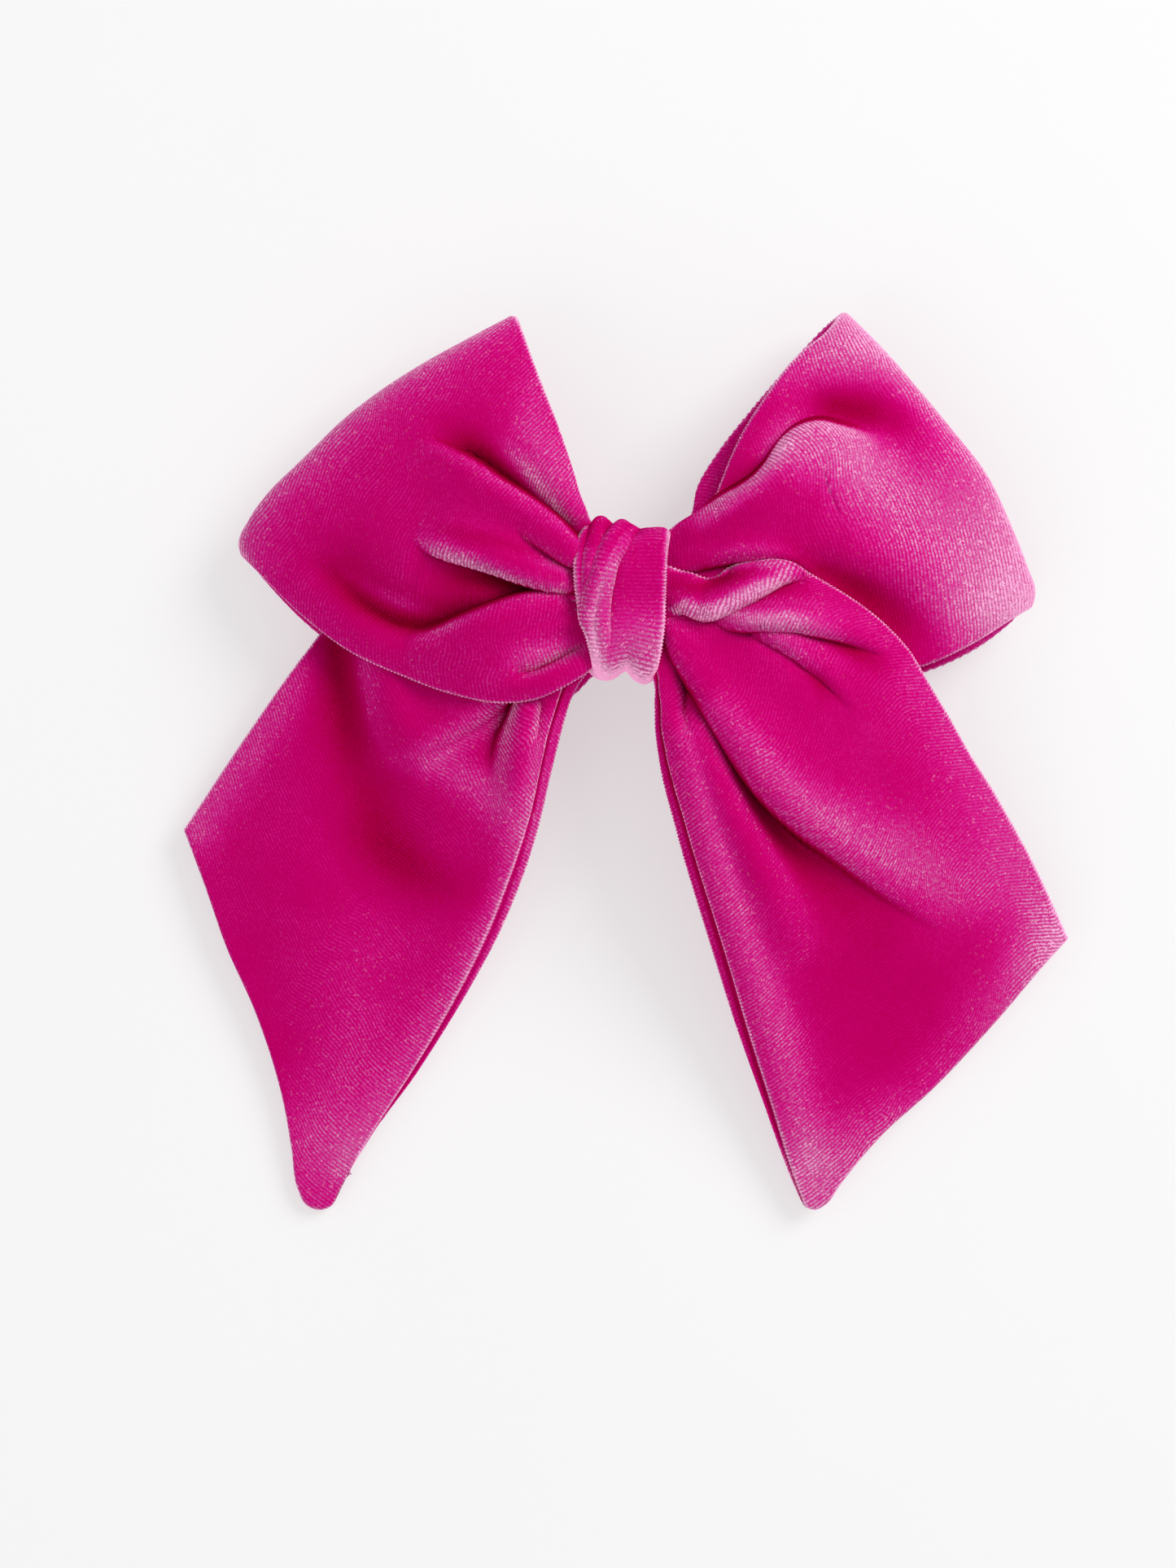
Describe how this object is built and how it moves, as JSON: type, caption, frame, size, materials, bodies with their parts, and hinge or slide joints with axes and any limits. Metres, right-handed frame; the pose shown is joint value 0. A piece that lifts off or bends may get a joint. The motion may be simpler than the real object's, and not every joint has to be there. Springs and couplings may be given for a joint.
{
  "type": "barrette",
  "caption": "Large velvet bow with two wide loops, two long pointed tails and a pleated knot, sewn to a steel spring barrette with a squeeze catch.",
  "frame": {"origin": "middle of the hair channel between the clasp arm and the leaf spring, directly behind the middle of the knot, 9.0 mm above the plane the clip rests on", "axes": "+Z out of the front of the bow, +X to the right seen from the front, along the clip from hinge to catch, +Y towards the tips of the loops"},
  "size_m": [0.1528, 0.1569, 0.027],
  "materials": {
    "velvet": "matte",
    "sewing_thread": "matte",
    "nickelled_steel": "satin",
    "pin_steel": "satin",
    "spring_steel": "satin"
  },
  "bodies": {
    "bow_and_bar": {"barrette_bar": "nickelled_steel", "tension_spring": "spring_steel", "catch_plate": "nickelled_steel", "catch_rivet": "pin_steel", "hinge_pin": "pin_steel", "bow_strip": "velvet", "knot_wrap": "velvet", "gather_thread": "sewing_thread", "wrap_stitches": "sewing_thread", "bar_stitches": "sewing_thread"},
    "arm": {"clasp_arm": "nickelled_steel"},
    "tab_front": {"catch_tab_front": "nickelled_steel"},
    "tab_back": {"catch_tab_back": "nickelled_steel"}
  },
  "joints": [
    {"name": "arm_swing", "type": "hinge", "parent": "bow_and_bar", "child": "arm", "pos_m": [-0.037, 0, -0.0064], "axis": [0, 1, 0], "range_deg": [0, 75]},
    {"name": "tab_front_squeeze", "type": "hinge", "parent": "bow_and_bar", "child": "tab_front", "pos_m": [0.0375, -0.0024, -0.0028], "axis": [1, 0, 0], "range_deg": [0, 9]},
    {"name": "tab_back_squeeze", "type": "hinge", "parent": "bow_and_bar", "child": "tab_back", "pos_m": [0.0375, 0.0024, -0.0028], "axis": [1, 0, 0], "range_deg": [-9, 0]}
  ],
  "couplings": [
    {"joint": "tab_back_squeeze", "follows": "tab_front_squeeze", "ratio": -1}
  ]
}
